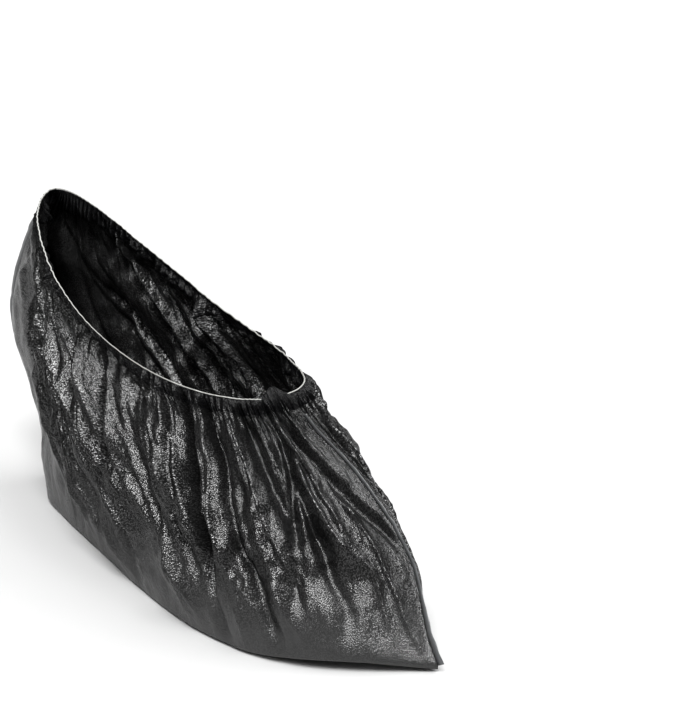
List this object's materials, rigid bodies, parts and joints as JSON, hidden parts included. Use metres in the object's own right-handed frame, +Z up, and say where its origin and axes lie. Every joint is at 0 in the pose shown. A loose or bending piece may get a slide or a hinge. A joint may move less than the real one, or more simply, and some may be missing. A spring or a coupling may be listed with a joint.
{
  "type": "disposable shoe cover",
  "caption": "Black embossed plastic-film overshoe in its worn form, with welded heel and toe ends and an elastic gathered round the ankle mouth.",
  "frame": {"origin": "on the floor below the middle of the cover's box", "axes": "+X to the toe, +Z up, +Y to the wearer's left, the inner side of this cover on a right boot"},
  "size_m": [0.3686, 0.12, 0.1857],
  "materials": {
    "film": "embossed black polyethylene film",
    "hem": "embossed film, turned and gathered",
    "elastic": "pale latex elastic",
    "weld": "heat-sealed film edge"
  },
  "bodies": {
    "root": {"film_body": "film", "gathered_hem": "hem", "elastic_band": "elastic", "heel_weld": "weld", "toe_weld": "weld"}
  },
  "joints": []
}
